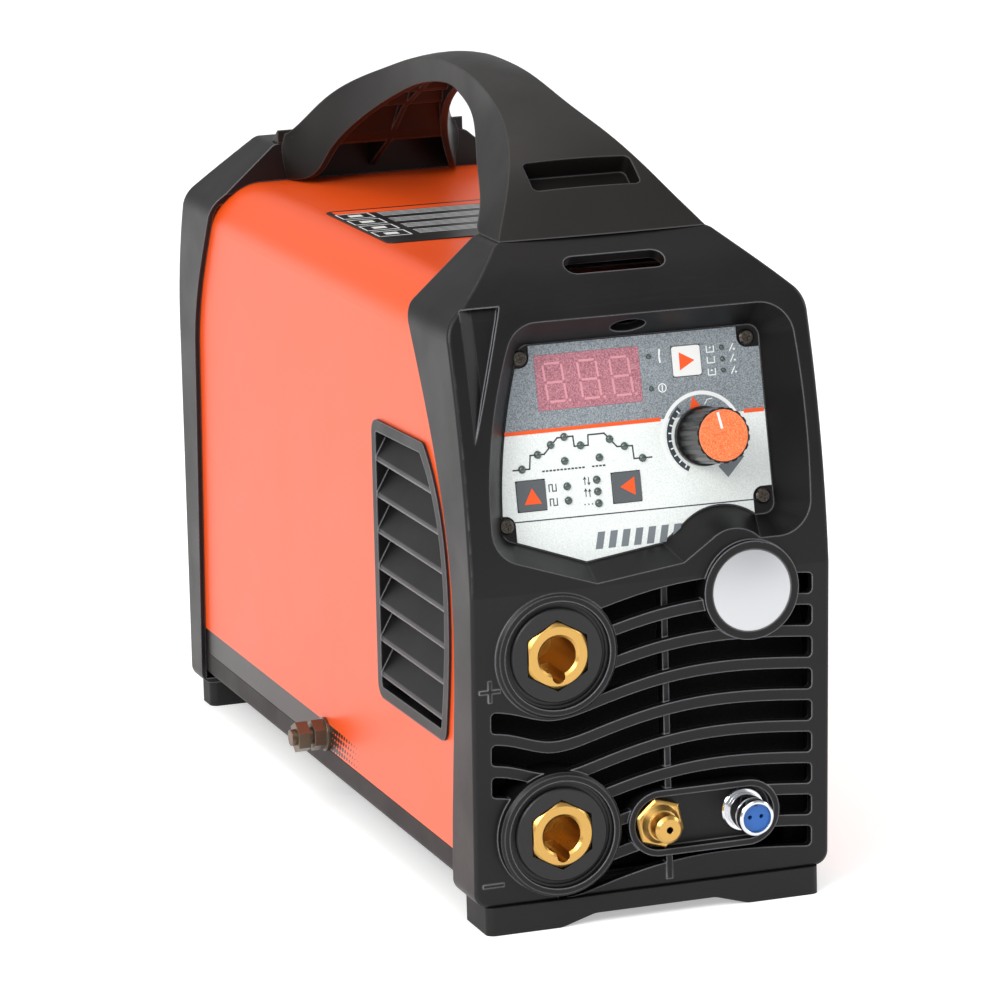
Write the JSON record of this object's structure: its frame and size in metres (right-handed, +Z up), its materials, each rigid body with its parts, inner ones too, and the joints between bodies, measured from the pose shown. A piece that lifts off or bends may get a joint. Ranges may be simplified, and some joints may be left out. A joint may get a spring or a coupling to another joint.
{
  "type": "tig welding machine",
  "caption": "Portable inverter TIG welding power source with black moulded ends, orange sheet cover, arched carrying handle, control panel, twist-lock sockets and gas outlet.",
  "frame": {"origin": "on the ground, in the middle of the overall box in X and Y", "axes": "X to the right seen from the front, Y from the control panel towards the rear, Z up"},
  "size_m": [0.1404, 0.3732, 0.2753],
  "materials": {
    "casing_plastic": "moulded, fine grained black",
    "handle_plastic": "moulded, fine grained black",
    "foot_plastic": "satin black",
    "sheet_orange": "smooth orange powder coat",
    "tray_steel": "black powder coat",
    "label_film": "printed polyester film",
    "window_red": "tinted, hazy",
    "knob_black": "gloss black",
    "knob_orange": "grained orange",
    "white_plastic": "satin",
    "grey_plastic": "grained dark grey",
    "led_lens": "dark lens",
    "brass": "turned and milled",
    "chrome": "polished plate",
    "blue_plastic": "moulded blue",
    "zinc_steel": "zinc plated",
    "dark_screw": "blackened",
    "aluminium": "satin",
    "circuit_board": "green solder mask",
    "copper": "bare copper",
    "ferrite": "sintered, dull",
    "component_black": "moulded black",
    "capacitor_sleeve": "dark sleeve",
    "hose_rubber": "smooth black"
  },
  "bodies": {
    "machine": {"front_bezel": "casing_plastic", "rear_cover": "casing_plastic", "front_foot": "foot_plastic", "rear_foot": "foot_plastic", "top_cover": "sheet_orange", "base_tray": "tray_steel", "vent_left": "casing_plastic", "vent_right": "casing_plastic", "handle": "handle_plastic", "control_label": "label_film", "display_window": "window_red", "display_module": "component_black", "status_leds": "led_lens", "label_screws": "dark_screw", "control_board": "circuit_board", "potentiometer": "zinc_steel", "grille_filter": "component_black", "tact_switches": "component_black", "socket_collar_positive": "component_black", "socket_collar_negative": "component_black", "socket_insert_positive": "brass", "socket_insert_negative": "brass", "socket_bolts": "zinc_steel", "busbars": "copper", "gas_outlet": "brass", "torch_socket_shell": "chrome", "torch_socket_insert": "blue_plastic", "earth_stud": "zinc_steel", "earth_nuts": "zinc_steel", "badge_disc": "aluminium", "top_plate": "label_film", "heatsinks": "aluminium", "power_modules": "component_black", "main_board": "circuit_board", "board_standoffs": "zinc_steel", "capacitors": "capacitor_sleeve", "transformer_core": "ferrite", "transformer_winding": "copper", "output_choke": "copper", "hf_coil": "copper", "fan_frame": "component_black", "switch_housing": "component_black", "cable_gland": "component_black", "gas_inlet": "brass", "valve_body": "brass", "valve_coil": "component_black", "gas_hose": "hose_rubber", "rear_screws": "zinc_steel", "foot_screws": "zinc_steel", "handle_screws": "zinc_steel"},
    "knob": {"knob": "knob_black", "knob_cap": "knob_orange", "knob_pointer": "white_plastic", "knob_shaft": "zinc_steel"},
    "button_select": {"button_select": "white_plastic"},
    "button_up": {"button_up": "grey_plastic"},
    "button_left": {"button_left": "grey_plastic"},
    "rocker": {"power_rocker": "component_black"},
    "fan_rotor": {"fan_rotor": "component_black"},
    "plunger": {"valve_plunger": "zinc_steel"}
  },
  "joints": [
    {"name": "knob_turn", "type": "hinge", "parent": "machine", "child": "knob", "pos_m": [0.03215, -0.15983, 0.1614], "axis": [0, -0.9799, 0.1994], "range_deg": [-161, 139]},
    {"name": "button_select_press", "type": "slide", "parent": "machine", "child": "button_select", "axis": [0, 0.9799, -0.1994], "range_m": [0, 0.0005], "stiffness_N_per_m": 600, "springref_m": -0.0008},
    {"name": "button_up_press", "type": "slide", "parent": "machine", "child": "button_up", "axis": [0, 0.9799, -0.1994], "range_m": [0, 0.0005], "stiffness_N_per_m": 600, "springref_m": -0.0008},
    {"name": "button_left_press", "type": "slide", "parent": "machine", "child": "button_left", "axis": [0, 0.9799, -0.1994], "range_m": [0, 0.0005], "stiffness_N_per_m": 600, "springref_m": -0.0008},
    {"name": "power_switch", "type": "hinge", "parent": "machine", "child": "rocker", "pos_m": [0.02775, 0.16515, 0.154], "axis": [1, 0, 0], "range_deg": [-18, 0]},
    {"name": "fan_spin", "type": "hinge", "parent": "machine", "child": "fan_rotor", "pos_m": [0.00575, 0.14515, 0.066], "axis": [0, 1, 0], "continuous": true},
    {"name": "gas_valve", "type": "slide", "parent": "machine", "child": "plunger", "axis": [0, -1, 0], "range_m": [0, 0.002], "stiffness_N_per_m": 120, "springref_m": -0.004}
  ]
}
